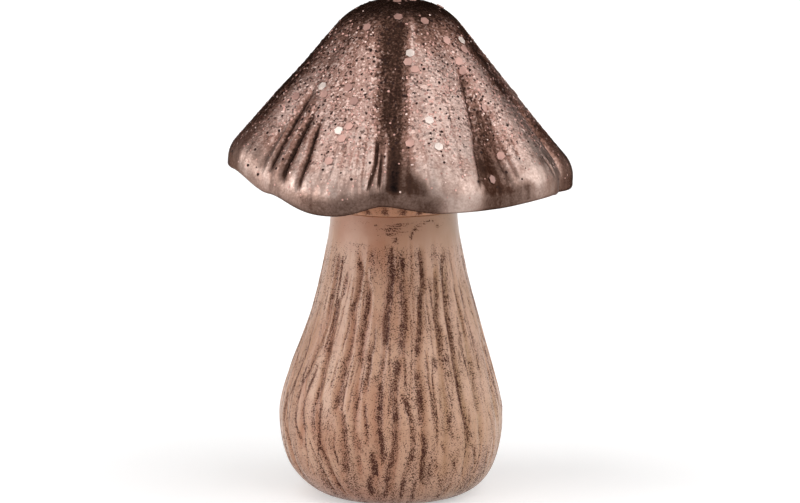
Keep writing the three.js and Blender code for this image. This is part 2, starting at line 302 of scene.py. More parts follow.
def addLights(look):
    for name, azimuth, elevation, strength, width in look["lights"]:
        data = bpy.data.lights.new(name, "SUN")
        data.energy = strength
        data.angle = math.radians(width)
        addHolder(data, towards(azimuth, elevation), Vector())
    room = bpy.data.worlds.new("greyRoom")
    room.use_nodes = True
    tree = room.node_tree
    parts = addNode(tree, "ShaderNodeSeparateXYZ")
    feed(parts, {"Vector": addNode(tree, "ShaderNodeTexCoord").outputs["Generated"]})
    shade = mixColours(spread(parts.outputs["Z"], 0.1, 0.8), look["walls"], look["ceiling"])
    feed(tree.nodes["Background"], {"Color": shade})
    scene.world = room


addFloor(stage)
addLights(stage)
print("floor and lights placed")

# Cap: the folded shell in mm, azimuth in degrees from the front, share of the section from the crown
capForm = {
    "top": 149, "lip": 93, "reach": 50.5, "wall": 2.8,
    "crownFlat": 3, "crownRound": 19, "crownLean": 1.7, "brimBend": 11, "brimDrop": 2,
    "foldStart": 0.75, "foldTightness": 1.35,
    "folds": [  # azimuth, outward and upward shift, lobe and furrow in turn
        (-71.5, 0.3, 7.5), (-49, -1.6, 2.4), (-22, 0, -2), (-4, -5, 0.5), (19, 0, -1), (41, -3.5, -1.5),
        (63.5, 0.5, 0), (86, -1.5, -1.8), (108, 5.5, -2.5), (131, -3.5, 0.5), (153, 1, -0.5),
        (176, -4.5, 2), (198, 0.5, 0.5), (221, -3.5, 3.5), (243, 1, 4.5), (266, -3, 6)],
    "columns": 760, "rows": 104, "lipRows": 10, "insideRows": 9, "sectionSteps": 200,
    "crowd": 2, "crowdTurn": 12, "firstShare": 0.006, "insideShares": (0.97, 0.02),
    "creases": [  # depth, half width, tone of the painted shade (of the painted highlight for ridges), then points of azimuth and share; ridges are below 0
        (1.1, 0.9, 1.35, (-51, 0.58), (-49.5, 0.75), (-48.5, 0.91)),
        (1, 1.2, 1.3, (-42, 0.66), (-41.5, 0.94)),
        (0.9, 0.7, 1.35, (-36, 0.66), (-34, 0.82), (-33.8, 0.94)),
        (0.9, 0.55, 1.2, (-7.6, 0.73), (-7.2, 0.84), (-9, 0.95)),
        (0.7, 0.5, 1.2, (-5.6, 0.79), (-5.4, 0.95)),
        (0.9, 1.1, 0.9, (45.5, 0.43), (41, 0.57), (38.5, 0.68), (34, 0.79), (31, 0.93)),
        (0.6, 0.9, 0.9, (50, 0.6), (47, 0.7), (44.5, 0.83), (45.5, 0.94)),
        (0.4, 1.4, 0.6, (-54, 0.74), (-53, 0.94)),
        (0.35, 0.5, 0.5, (-13, 0.63), (-12, 0.78), (-11.5, 0.94)),
        (0.25, 0.45, 0.4, (-14.8, 0.69), (-13.6, 0.94)),
        (-0.55, 0.7, -0.75, (14, 0.2), (11, 0.35), (9, 0.49)),
        (-0.55, 0.5, -0.85, (-3.8, 0.74), (-3.6, 0.94)), (-0.3, 0.45, -0.4, (-9.5, 0.7), (-10, 0.94)),
        (-0.35, 0.5, -0.5, (-45.5, 0.66), (-45, 0.9)), (0.22, 0.4, 0.3, (-28, 0.72), (-27, 0.94)),
        (0.2, 0.4, 0.3, (-24.5, 0.62), (-23.5, 0.93)), (0.24, 0.4, 0.35, (-20.5, 0.7), (-19, 0.94)),
        (0.2, 0.35, 0.3, (-17.5, 0.6), (-16.5, 0.92)), (0.2, 0.4, 0.3, (6, 0.55), (7.5, 0.93)),
        (0.22, 0.4, 0.3, (11, 0.7), (12, 0.94)), (0.2, 0.4, 0.3, (21, 0.62), (19.5, 0.92)),
        (0.24, 0.45, 0.35, (26.5, 0.58), (24, 0.94)),
        (0.4, 0.6, 0.7, (47.5, 0.72), (48.5, 0.82), (48.5, 0.92)),
        (0.4, 0.55, 0.6, (54, 0.75), (52.5, 0.84)), (0.4, 0.6, 0.7, (65.5, 0.86), (68, 0.94)),
        (0.3, 0.6, 0.5, (70, 0.7), (67, 0.8)),
    ],
    "sideFurrows": {  # azimuth: tone of the painted shade in its creases, number of small ones
        86: (0.4, 0), 131: (0.9, 3), 176: (0.9, 3), 221: (0.9, 3), 266: (0.9, 3)},
    "sideCreases": [(0.9, 1, -5.5, 0.58, 0.93), (0.8, 0.9, 4.5, 0.66, 0.94)],  # depth, half, offset, ends
    "smallSpread": 11, "creaseSeed": 11,
    "shadeBands": [  # painted shade and painted dark reflections in the furrows, along the flanks and on the left lobe: skew to the right, then points of azimuth, share, half width, strength
        (0.15, (-9, 0.2, 6, 1.1), (-4, 0.4, 5.6, 1.1), (-3, 0.56, 5.2, 1.1), (-2.4, 0.74, 5, 1),
               (-0.5, 0.87, 6, 1.1), (3.5, 0.95, 9, 1.2), (4, 0.97, 9, 0.75)),
        (0.8, (46.5, 0.44, 1.2, 0.4), (43, 0.57, 2.4, 0.6), (40.5, 0.68, 3.6, 0.88), (35.6, 0.79, 5, 1),
              (32.3, 0.905, 6.4, 1.1), (34, 0.93, 7, 1.15), (39, 0.95, 9, 1.15), (43, 0.97, 11, 0.9)),
        (0, (49, 0.91, 4, 0.2), (49, 0.955, 5, 1), (49, 0.975, 5, 0.8)),
        (0, (-47, 0.55, 2.5, 0.4), (-45, 0.75, 5, 0.55), (-43, 0.95, 6, 0.55)),
        (0, (-40, 0.2, 15, 0.38), (-36, 0.42, 19, 0.4), (-34, 0.6, 17, 0.26), (-32, 0.76, 11, 0)),
        (0, (-74, 0.2, 6, 0.7), (-75, 0.4, 7, 0.95), (-74, 0.6, 6.5, 0.95), (-72, 0.74, 6.5, 0.9),
            (-76, 0.86, 4.5, 0.6)),
        (0, (-62, 0.7, 12, 0.2), (-62, 0.84, 12, 0.5), (-62, 0.97, 12, 0.45)),
        (0, (15, 0.7, 2.5, 0), (18, 0.82, 4, 0.3), (19, 0.93, 5, 0.4)),
        (0, (80, 0.15, 7, 1), (81, 0.4, 8, 1), (79, 0.57, 8.5, 0.95), (90, 0.68, 5, 0.5),
            (100, 0.8, 6, 0.85), (104, 0.92, 8, 0.85), (105, 0.97, 8, 0.85)),
        (0, (88, 0.55, 4, 0.6), (93, 0.75, 5, 0.85), (96, 0.9, 6, 0.7)),
        (0, (133, 0.3, 4, 0.5), (131, 0.95, 6.5, 0.8)),
        (0, (175, 0.2, 5, 0.8), (176, 0.95, 6.5, 0.9)),
        (0, (222, 0.3, 4, 0.5), (221, 0.95, 6, 0.8)),
        (0, (272, 0.15, 6.5, 1), (269, 0.4, 6.5, 1.05), (267, 0.68, 6, 1), (264, 0.8, 4, 0.6),
            (262, 0.95, 3.5, 0.25)),
    ],
    # painted shade on the crown, on the brim turn and along the lip, with the lip left lighter in the
    # lipBright windows
    "crownShade": 1.05, "crownFade": (0.14, 0.52), "rimShade": 0.24, "rimFade": (0.78, 0.9),
    "lipShade": 0.86, "lipFade": (0.915, 0.98), "evenFade": (0.92, 0.96), "plainFade": (0.95, 1),
    "streaks": 0.65, "streakFade": (0.3, 0.6), "fluteFade": (0.6, 0.9), "dentFade": (0, 0.2),
    "glitterFade": (0.6, 1), "thinGlitter": (0.3, 22, 18),
    "lipBright": [(24, 8, 0.7), (72, 21, 0.75), (-62, 26, 0.75)], "ripple": 0.16, "dents": 0.28,
}


def foldedBrim(azimuth):
    folds = np.array(capForm["folds"], float)
    start = folds[0, 0]
    ringed = np.vstack([folds, folds[:1] + (360, 0, 0)])
    turned = start + (azimuth - start) % 360
    index = np.clip(np.searchsorted(ringed[:, 0], turned, side="right") - 1, 0, len(folds) - 1)
    here = ringed[index]
    there = ringed[index + 1]
    along = (turned - here[..., 0]) / (there[..., 0] - here[..., 0])
    leavesLobe = index % 2 == 0
    furrow = smooth(np.where(leavesLobe, along, 1 - along)) ** capForm["foldTightness"]
    share = np.where(leavesLobe, furrow, 1 - furrow)
    shifted = here + (there - here) * share[..., None]
    return capForm["reach"] + shifted[..., 1], capForm["lip"] + shifted[..., 2]


def capSection():
    form = capForm
    crown = np.array([form["crownFlat"], form["top"] - form["crownRound"]])
    brim = np.array([form["reach"] - form["brimBend"], form["lip"] + form["wall"] / 2 + form["brimDrop"]])
    gap = brim - crown
    flank = math.atan2(gap[1], gap[0]) + math.acos((form["crownRound"] - form["brimBend"]) / np.hypot(*gap))
    over = np.linspace(math.pi / 2, flank, form["sectionSteps"])
    down = np.linspace(flank, 0, form["sectionSteps"])
    line = [[(0, form["top"])], crown + form["crownRound"] * np.stack([np.cos(over), np.sin(over)], 1),
            brim + form["brimBend"] * np.stack([np.cos(down), np.sin(down)], 1),
            [(form["reach"], form["lip"] + form["wall"] / 2)]]
    line = np.vstack(line)
    return line, runAlong(line)


sectionLine, sectionRun = capSection()


def capProfile(azimuth, share):
    radius = np.interp(share, sectionRun, sectionLine[:, 0])
    height = np.interp(share, sectionRun, sectionLine[:, 1])
    reach, lip = foldedBrim(azimuth)
    top = capForm["top"]
    spreadOut = 1 + (reach / capForm["reach"] - 1) * (radius / capForm["reach"]) ** capForm["foldStart"]
    return radius * spreadOut, top - (top - height) * (top - lip) / (top - capForm["lip"])


def leanAt(height):
    return np.interp(height, (capForm["lip"], capForm["top"]), (0, capForm["crownLean"]))


def leaned(azimuth, radius, height):
    return onAxis(azimuth, radius, height, leanAt(height))


def capBase(azimuth, share):
    return leaned(azimuth, *capProfile(azimuth, share))


def normalOf(skin, azimuth, share, step=0.002):
    turn = step * 60
    around = skin(azimuth + turn, share) - skin(azimuth - turn, share)
    low = np.clip(share - step, 0.001, 1)
    high = np.clip(share + step, 0.001, 1)
    along = skin(azimuth, high) - skin(azimuth, low)
    return unit(np.cross(along, around))


def furrowCreases():
    form = capForm
    draw = np.random.default_rng(form["creaseSeed"])
    lines = []
    for furrow, (tone, small) in form["sideFurrows"].items():
        for depth, half, offset, start, end in form["sideCreases"]:
            place = furrow + offset
            lines.append((depth, half, tone, (place, start), (place, end)))
        for spot in np.linspace(-1, 1, small):
            place = furrow + spot * form["smallSpread"]
            bend = draw.uniform(-2, 2)
            start = draw.uniform(0.6, 0.74)
            end = draw.uniform(0.9, 0.94)
            line = [(place + bend, start), (place, 0.82), (place - bend, end)]
            lines.append((draw.uniform(0.25, 0.5), draw.uniform(0.5, 0.8), 0.6, *line))
    return lines


creases = capForm["creases"] + furrowCreases()


def creaseMarks(azimuth, share, radius):
    depth = np.zeros(np.broadcast(azimuth, share).shape)
    dark = np.zeros_like(depth)
    lit = np.zeros_like(depth)
    for deep, half, tone, *line in creases:
        places, shares = np.array(line).T
        away = sideways(azimuth, np.interp(share, shares, places), radius)
        ends = smooth((share - shares[0]) / 0.1 + 0.5) * smooth((shares[-1] - share) / 0.06 + 0.5)
        mark = np.exp(-(away / half) ** 2) * ends
        # ridges: a painted highlight along the line; creases below: painted shade with a wider, softer
        # skirt
        if deep < 0:
            depth = depth + deep * mark
            lit = np.maximum(lit, -tone * mark)
            continue
        skirt = 0.55 * np.exp(-(away / (2.4 * half)) ** 2) * ends
        depth = np.maximum(depth, deep * mark)
        dark = np.maximum(dark, tone * np.maximum(mark, skirt))
    return depth, dark, lit


def capRelief(azimuth, share):
    form = capForm
    depth = creaseMarks(azimuth, share, capProfile(azimuth, share)[0])[0]
    flutes = roundNoise(azimuth, share, 22, 2.5, 3.7) * ramp(share, form["fluteFade"]) * form["ripple"]
    dents = roundNoise(azimuth, share, 3.2, 5, 8.1) * form["dents"] * ramp(share, form["dentFade"])
    return (flutes + dents - depth) * (1 - ramp(share, form["plainFade"]))


def capSkin(azimuth, share):
    relief = capRelief(azimuth, share)[..., None]
    return capBase(azimuth, share) + normalOf(capBase, azimuth, share) * relief


# Painted shade along the lip, lighter in the lipBright windows
def lipPaintedShade(azimuth):
    bright = 0
    for place, half, much in capForm["lipBright"]:
        bright = bright + much * np.exp(-(turnedBy(azimuth - place) / half) ** 4)
    return capForm["lipShade"] * (1 - bright)


# Painted shade and painted dark reflections: a darker crown and brim turn, shaded furrows, flanks, creases
# and lip, lighter ridges
def capPaintedShade(azimuth, share):
    form = capForm
    radius = capProfile(azimuth, share)[0]
    ragged = roundNoise(azimuth, share, 9, 9, 1.3)
    paintedShade = form["crownShade"] * (1 - ramp(share + 0.05 * ragged, form["crownFade"]))
    paintedShade = np.maximum(paintedShade, form["rimShade"] * ramp(share, form["rimFade"]))
    for skew, *line in form["shadeBands"]:
        places, shares, halves, strengths = np.array(line).T
        away = sideways(azimuth, np.interp(share, shares, places), radius)
        lean = skew * (1 - ramp(share, form["evenFade"]))  # furrows spread evenly at the lip
        half = np.interp(share, shares, halves) * (1 + 0.25 * ragged)
        half = half * np.where(away < 0, 1 - lean, 1 + lean)
        starts = smooth((share - shares[0]) / 0.1 + 0.6)
        strength = np.interp(share, shares, strengths) * starts
        paintedShade = np.maximum(paintedShade, strength * (1 - smooth((np.abs(away) / half - 0.3) / 1.2)))
    streaky = form["streaks"] * roundNoise(azimuth, share, 30, 3, 7.7) * ramp(share, form["streakFade"])
    dark, lit = creaseMarks(azimuth, share, radius)[1:]
    edge = lipPaintedShade(azimuth) * ramp(share, form["lipFade"])
    return np.maximum(np.maximum(paintedShade * (0.97 + 0.5 * streaky), dark) * (1 - lit), edge)


def glitterCover(azimuth, share):
    patchy = roundNoise(azimuth, share, 7, 7, 5.1)
    much, place, half = capForm["thinGlitter"]  # less on the front right lobe
    thinned = much * np.exp(-(turnedBy(azimuth - place) / half) ** 2)
    return (1 - 0.9 * ramp(share + 0.08 * patchy, capForm["glitterFade"])) * (1 - thinned)


def crowdedAzimuths(form):
    turn = np.linspace(0, 360, 7201)
    furrows = np.array([fold[0] for fold in form["folds"][1::2]])
    near = np.min(np.abs(turnedBy(turn[:, None] - furrows)), axis=1)
    density = 1 + form["crowd"] * np.exp(-(near / form["crowdTurn"]) ** 2)
    run = np.append(0, np.cumsum(density[1:]))
    return np.interp(np.arange(form["columns"]) / form["columns"], run / run[-1], turn)


def addCap():
    form = capForm
    azimuth = crowdedAzimuths(form)[None]
    shares = np.linspace(form["firstShare"], 1, form["rows"])[:, None]
    outside = capSkin(azimuth, shares)
    paintedShade = capPaintedShade(azimuth, shares)
    reach, lip = foldedBrim(azimuth)
    half = form["wall"] / 2
    turns = -np.linspace(0, math.pi, form["lipRows"] + 2)[1:, None]
    rolled = leaned(azimuth, reach - half + half * np.cos(turns), lip + half + half * np.sin(turns))
    backShares = np.linspace(*form["insideShares"], form["insideRows"])[:, None]
    inside = capBase(azimuth, backShares) - normalOf(capBase, azimuth, backShares) * form["wall"]
    rings = np.concatenate([outside, rolled, inside])
    crown = (form["crownLean"], 0, form["top"])
    cap = addRings("cap", rings, crown, (form["crownLean"], 0, form["top"] - form["wall"]))
    # painted shade: the rolled lip takes the lip's shade, the inside is fully shaded
    rolledPaintedShade = np.broadcast_to(lipPaintedShade(azimuth), rolled.shape[:2])
    paint(cap, "paintedShade", np.concatenate([paintedShade, rolledPaintedShade, np.ones(inside.shape[:2])]))
    bare = np.zeros((len(rings) - len(shares), form["columns"]))
    paint(cap, "glitz", np.concatenate([glitterCover(azimuth, shares), bare]))
    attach(cap, "root")
    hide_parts("cap_shell")
    return cap


# taupe, russet, dark and deep are the colours of the painted shade and dark reflections, from lightest to
# deepest
lustre = {
    "light": (0.58, 0.45, 0.395), "blush": (0.51, 0.35, 0.295), "rosy": (0.535, 0.352, 0.304),
    "russet": (0.29, 0.155, 0.12), "taupe": (0.25, 0.165, 0.135),
    "dark": (0.06, 0.03, 0.021), "deep": (0.008, 0.005, 0.005),
    "edge": (0.06, 0.055, 0.055), "brightSpeck": (0.95, 0.7, 0.62), "darkSpeck": (0.03, 0.013, 0.01),
    "speckScale": 1500,
}


def lustreFinish():
    finish, tree, shader = newFinish("capLustre")
    cloudy = noiseNode(tree, 160, 3)
    grain = noiseNode(tree, 1500, 2, 0.65)
    mottled = noiseNode(tree, 1000, 3, 0.6)
    cover = painted(tree, "glitz")
    coarse = spread(cover, 0, 0.8, 0.3, 1)  # the lip and the low lobes are smoother
    # the painted shade, roughened by grain and mottling, darkens the lustre step by step
    paintedShade = sumOf(painted(tree, "paintedShade"), swing(cloudy, -0.08, 0.08))
    for source, weight in ((grain, 0.34), (mottled, 0.2)):
        paintedShade = sumOf(paintedShade, product(swing(source, -0.5, 0.5), coarse), weight)
    ground = mixColours(spread(cloudy, 0.42, 0.66), lustre["light"], lustre["blush"])
    ground = mixColours(product(cover, 0.8), ground, lustre["rosy"])
    middle = mixColours(spread(cover, 0.05, 0.6), lustre["taupe"], lustre["russet"])
    for low, colour in ((0, middle), (0.5, lustre["dark"]), (1, lustre["deep"])):
        ground = mixColours(held(paintedShade, low, low + 0.5), ground, colour)
    # glitter specks; the bright ones fade out in the painted shade
    speck = speckNode(tree, lustre["speckScale"])
    sparks = product(spread(speck, 0.84, 0.9), cover)
    brightSpeck = product(sparks, held(paintedShade, 1, 0.2))
    darkSpeck = product(spread(speck, 0.16, 0.1), cover)
    ground = mixColours(product(brightSpeck, 0.6), ground, lustre["brightSpeck"])
    ground = mixColours(product(darkSpeck, 0.8), ground, lustre["darkSpeck"])
    rough = sumOf(spread(paintedShade, 0, 1, 0.38, 0.46), swing(grain, -0.06, 0.06))
    feed(shader, {"Base Color": ground, "Roughness": rough})
    feed(shader, {"Metallic": 1.0, "Specular Tint": lustre["edge"]})
    pebbled = sumOf(product(grain, coarse), product(speck, cover), 0.4)
    addBump(shader, pebbled, 0.9, 0.2)
    return finish


cap = addCap()
cap.data.materials.append(lustreFinish())
print("cap", len(cap.data.vertices), "points")

# Underside: the gilled plate inside the brim, with its flare down to the neck
plateForm = {
    "neckRadius": 18.9, "neckHeight": 86.78, "bore": 16.6, "collar": 8, "collarWall": 2.2, "wall": 2.4,
    "recess": 1.8, "clearance": 0.5, "flareRise": 4, "flareSpread": 1.6, "run": 14, "sag": 0.8,
    "gills": 24, "gillDepth": 0.8, "gillSharpness": 1.6, "wobble": 0.15, "backEnd": 0.12,
    "grimeEnds": ((0, 0.06), (0.1, 0.5)), "columns": 576, "rows": 36, "backRows": 8,
}


def bezier(points, shares):
    first, second, third, last = points
    back = 1 - shares
    return back**3 * first + 3 * back**2 * shares * second + 3 * back * shares**2 * third + shares**3 * last


def addPlate():
    form = plateForm
    azimuth = turnsOf(form["columns"])
    reach, lip = foldedBrim(azimuth)
    edgeHeight = lip + form["recess"]
    edge = reach - capForm["wall"] - form["clearance"]
    along = np.linspace(0, 1, form["rows"])[:, None]
    neck = form["neckRadius"]
    foot = form["neckHeight"]
    radius = bezier((neck, neck + form["flareSpread"], edge - form["run"], edge), along)
    height = bezier((foot, foot + form["flareRise"], edgeHeight - form["sag"], edgeHeight), along)
    wave = 0.5 + 0.5 * np.cos(np.radians(azimuth * form["gills"]))
    ridge = (wave ** form["gillSharpness"]) * np.sin(math.pi * along**0.7)
    wobble = form["wobble"] * roundNoise(azimuth, along, 14, 3, 5.5) * np.sin(math.pi * along)
    lower = onAxis(azimuth, radius, height - form["gillDepth"] * ridge + wobble)
    back = np.linspace(1, form["backEnd"], form["backRows"])[:, None]
    collarEdge = form["bore"] + form["collarWall"]
    upper = onAxis(azimuth, collarEdge + (edge - collarEdge) * back, edgeHeight + form["wall"])
    collar = tube(azimuth, form["bore"], foot + form["collar"], foot)
    rings = np.concatenate([lower, upper, *collar])[::-1]
    plate = addRings("gillPlate", rings, wrapRows=True)
    # darker in the gill valleys near the neck
    valleyDark = (1 - wave)**2 * plateau(along, *form["grimeEnds"])
    paint(plate, "patinaAndShade", np.concatenate([valleyDark, np.zeros((form["backRows"] + 2, form["columns"]))])[::-1])
    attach(plate, "root")
    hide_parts("gill_plate")
    return plate


plate = addPlate()
print("gill plate", len(plate.data.vertices), "points")

# Stem: the pear-shaped shell with wandering grooves, azimuth in degrees and height in mm
stemForm = {
    "foot": [(18, 0.3), (27, 0.3), (33.7, 9), (33.7, 24)],
    "neck": [(33.7, 24), (33.7, 35), (20, 60.3), (18.9, 86.7)],
    "spigot": 15, "spigotTop": 93.5, "recessRadius": 15.3, "recessHeight": 1.9,
    "bellyShift": -0.85, "bellyEnds": ((2, 12), (34, 58)),
    "columns": 720, "bodyRows": 98, "neckRows": 32, "neckStart": 78,
    "pressed": [  # the main grooves of the front, points of azimuth and height from the foot up
        [(-62, 6), (-67, 24), (-74, 33), (-73, 41)],
        [(-52, 19), (-51, 24), (-56, 38), (-55, 46), (-52, 56), (-53, 72)],
        [(-31, 7), (-37, 19), (-42, 33), (-43, 46), (-45, 60)],
        [(-24, 12), (-25, 26), (-30, 35), (-28, 47), (-29, 60), (-28, 73)],
        [(-16, 12), (-18, 26), (-19, 46), (-18, 63), (-22, 70)],
        [(-9, 4), (-8, 12), (-6, 18), (-7, 33), (-5, 46), (-6, 58), (-2, 71), (0, 76)],
        [(-2, 5), (2, 17), (3, 28), (2, 38), (7, 49), (7, 61), (8, 74)],
        [(13, 4), (17, 9), (16, 36), (15, 47), (19, 60), (23, 69), (24, 76)],
        [(29, 11), (28, 20), (29, 33), (30, 46), (31, 60), (36, 72)],
        [(43, 11), (42, 23), (40, 43), (40, 58), (46, 71)],
        [(52, 20), (52, 36), (53, 45), (54, 61), (56, 66)],
        [(69, 24), (69, 30), (73, 38), (76, 49)],
    ],
    "pressedBack": {"count": 14, "start": 88, "sweep": 186, "sway": 2.5, "wave": 9,
                    "heights": [(5, 24, 43, 62), (12, 30, 50, 74)]},
    "pressDepth": 0.6, "pressTurn": 2, "pressFade": 8,
    "strokes": [  # strength, half width, then points of azimuth and height from the top down
        (0.7, 0.35, (-66, 61), (-67, 57), (-67, 51), (-65, 47), (-64, 43)),
        (0.75, 0.55, (-53, 74), (-52, 69), (-52, 64), (-54, 61), (-53, 57)),
        (0.7, 0.6, (-40, 69), (-41, 64), (-44, 61), (-44, 53), (-43, 45)),
        (0.75, 0.7, (-30, 74), (-27, 70), (-28, 63), (-31, 61), (-32, 57)),
        (0.75, 0.4, (-28, 58), (-27, 54), (-27, 50), (-28, 46)),
        (0.5, 0.9, (-18, 78), (-19, 74), (-18, 70), (-16, 68)),
        (0.85, 0.7, (-19, 65), (-19, 60), (-20, 57), (-20, 46)),
        (1, 0.95, (-2, 78), (-3, 75), (-2, 71), (-4, 63), (-6, 55), (-5, 50)),
        (0.7, 0.65, (-14, 50), (-13, 46)), (0.95, 0.6, (7, 75), (7, 71)),
        (0.75, 1.1, (5, 68), (8, 63), (8, 57), (6, 52), (6, 48)),
        (0.5, 0.5, (14, 79), (14, 74), (14, 69), (10, 63)),
        (0.95, 0.75, (23, 77), (23, 73), (24, 66), (20, 63), (18, 55), (16, 47)),
        (0.45, 0.9, (36, 80), (34, 73)), (0.75, 0.65, (35, 69), (34, 62), (30, 57), (33, 52), (32, 47)),
        (0.9, 0.75, (46, 75), (42, 71), (42, 68), (40, 59), (40, 45)),
        (0.6, 0.33, (54, 75), (54, 71), (56, 68)), (0.6, 0.45, (52, 65), (54, 62), (52, 56)),
        (0.55, 0.37, (58, 56), (58, 52)), (0.6, 0.65, (49, 53), (47, 49), (44, 45)),
        (0.5, 0.25, (71, 66), (74, 63)), (0.5, 0.25, (74, 48), (76, 44)),
        (0.65, 0.45, (-72, 41), (-72, 35), (-74, 32), (-71, 26), (-69, 22), (-65, 17)),
        (0.75, 0.4, (-65, 42), (-66, 39), (-68, 35), (-68, 32)),
        (0.75, 0.4, (-55, 45), (-55, 41), (-58, 37), (-58, 31)),
        (0.9, 0.5, (-49, 42), (-50, 38), (-53, 31), (-52, 28), (-49, 23)),
        (0.8, 0.4, (-58, 30), (-57, 26), (-55, 23), (-52, 20)),
        (0.6, 0.75, (-42, 45), (-43, 42), (-42, 39), (-44, 31), (-44, 28), (-42, 22)),
        (0.85, 0.45, (-40, 32), (-39, 24), (-39, 20), (-35, 15), (-33, 10), (-30, 5)),
        (0.65, 0.33, (-34, 45), (-34, 42), (-35, 37)),
        (0.8, 0.75, (-27, 47), (-28, 43), (-28, 37), (-30, 31)),
        (0.75, 0.9, (-26, 30), (-24, 25), (-23, 20), (-24, 15), (-27, 11)),
        (0.75, 0.33, (-29, 24), (-30, 21), (-29, 18), (-28, 15)),
        (0.9, 0.35, (-67, 27), (-64, 22), (-64, 14), (-61, 11), (-59, 8)),
        (0.5, 0.25, (-57, 19), (-57, 16), (-55, 12)), (0.6, 0.25, (-50, 19), (-48, 15), (-46, 10)),
        (0.75, 0.3, (-45, 20), (-42, 16), (-38, 11), (-38, 5)), (0.6, 0.5, (-19, 48), (-18, 43)),
        (0.8, 0.8, (-14, 48), (-13, 45), (-14, 37)), (0.75, 0.5, (-14, 33), (-13, 29), (-12, 22)),
        (0.6, 0.6, (-6, 47), (-5, 44), (-7, 41)), (0.95, 0.8, (-6, 39), (-6, 27), (-5, 23), (-4, 16)),
        (0.4, 0.6, (-19, 37), (-18, 34), (-19, 31), (-18, 27)),
        (0.55, 0.9, (-20, 25), (-17, 23), (-16, 20), (-12, 18)),
        (1, 0.95, (-9, 19), (-8, 15), (-8, 12), (-11, 11), (-12, 5)),
        (0.9, 0.65, (-1, 13), (-3, 8), (-6, 4)), (0.45, 0.75, (-16, 18), (-16, 11)),
        (0.6, 0.9, (-25, 10), (-26, 5)),
        (0.8, 0.9, (3, 46), (4, 44), (2, 38), (3, 29), (2, 21), (-1, 12), (-2, 8)),
        (0.85, 0.8, (6, 36), (8, 33), (10, 29), (11, 22), (10, 18), (8, 14), (4, 4)),
        (0.95, 1, (15, 42), (16, 40), (16, 34), (16, 28)),
        (1, 0.65, (16, 25), (17, 18), (16, 15), (16, 10)), (1, 0.6, (13, 10), (12, 7), (12, 3)),
        (0.8, 0.8, (25, 46), (26, 43)), (0.75, 1, (34, 47), (33, 44)),
        (0.5, 0.6, (28, 45), (33, 42), (35, 38)),
        (0.85, 0.7, (40, 47), (40, 36), (40, 32), (42, 25), (42, 22)), (0.7, 0.5, (46, 46), (44, 44)),
        (0.5, 1, (53, 44), (54, 39), (52, 35), (52, 29)), (0.6, 0.75, (22, 33), (22, 30), (23, 25)),
        (0.65, 0.75, (32, 30), (31, 26), (33, 22)), (0.75, 0.6, (44, 20), (47, 18), (50, 13), (48, 10)),
        (0.75, 0.25, (60, 28), (62, 25), (64, 21)), (0.45, 0.4, (52, 24), (53, 21)),
        (0.7, 0.5, (60, 16), (61, 12), (64, 8)), (0.6, 0.6, (22, 18), (24, 13)),
        (0.65, 0.75, (34, 16), (36, 12)), (0.65, 0.6, (41, 13), (42, 10)),
        (0.55, 0.5, (26, 12), (28, 7)), (0.7, 0.6, (35, 8), (32, 5)), (0.6, 0.45, (50, 9), (51, 5)),
        (0.6, 0.4, (26, 21), (29, 18)), (0.5, 0.25, (74, 43), (72, 38)),
    ],
    "smudges": [  # strength, azimuth, height, half width and half height of short brush marks across
        (0.8, 1.4, 84, 3, 0.28), (0.75, 1, 83.25, 2.6, 0.25), (0.7, -2.5, 82.6, 2.4, 0.28),
        (0.8, 22, 83.7, 0.9, 0.3), (0.75, 19, 82.9, 0.8, 0.45), (0.75, 16.2, 81.8, 0.55, 0.7),
        (0.6, 15, 80.6, 0.5, 0.8), (0.5, 33, 85, 3.4, 0.22), (0.65, 42, 83.3, 0.7, 0.5),
        (0.55, -15.5, 84, 0.9, 0.3), (0.7, 6, 84.6, 3.6, 0.22), (0.6, -8, 83.1, 2.6, 0.22),
        (0.65, 8, 82.2, 2, 0.25), (0.55, 26, 84.4, 2.4, 0.2), (0.5, -3, 81.6, 2.4, 0.7),
        (0.5, 1.5, 79.8, 1.2, 1.1), (0.5, -33, 78.2, 3.2, 0.25), (0.6, -9, 40.6, 1.6, 0.6),
        (0.5, -9.5, 38.8, 1.2, 0.5), (0.5, -22, 25, 1.2, 0.6), (0.6, 150, 83.5, 3, 0.3),
        (0.55, 152, 82.6, 2.2, 0.3), (0.55, 215, 82.8, 2.5, 0.4), (0.55, 262, 83.4, 2, 0.4)],
    "backStrokes": {"count": 35, "seed": 23, "start": 77, "sweep": 207, "strength": (0.45, 1),
                    "half": (0.35, 0.95), "levels": [(74, 48), (50, 27), (29, 6)]},
    "thinStrokes": {"count": 115, "seed": 31, "top": (24, 74), "length": (10, 30), "lowest": 3,
                    "strength": (0.4, 0.75), "half": (0.18, 0.36)},
    "strokeEnds": 4, "strokeSides": (0.85, 1.5), "speckSides": (1.6, 3.2),
    "strokeDepth": 0.35, "dents": 0.25, "hairs": 0.1, "swell": 0.15, "reliefEnds": ((3, 11), (72, 84)),
    # painted shade: a darker, redder patch at the front below the neck; then the span over which the stem
    # darkens towards the foot
    "glow": {"place": -1, "turn": 13, "height": 73, "half": 10}, "nearFootFade": (8, 24),
    "strokeFade": (75, 82), "cleanFade": (75, 80),
}


def stemOutline():
    shares = np.linspace(0, 1, 200)[:, None]
    foot = bezier([np.array(point) for point in stemForm["foot"]], shares)
    neck = bezier([np.array(point) for point in stemForm["neck"]], shares)
    line = np.vstack([foot, neck[1:]])
    return line, runAlong(line)


stemLine, stemRun = stemOutline()


def pressedLines():
    back = stemForm["pressedBack"]
    lines = list(stemForm["pressed"])
    for index in range(back["count"]):
        place = back["start"] + back["sweep"] * index / (back["count"] - 1)
        heights = np.array(back["heights"][index % 2])
        sway = back["sway"] * np.sin(index + heights / back["wave"])
        lines.append(list(zip(place + sway, heights)))
    return lines


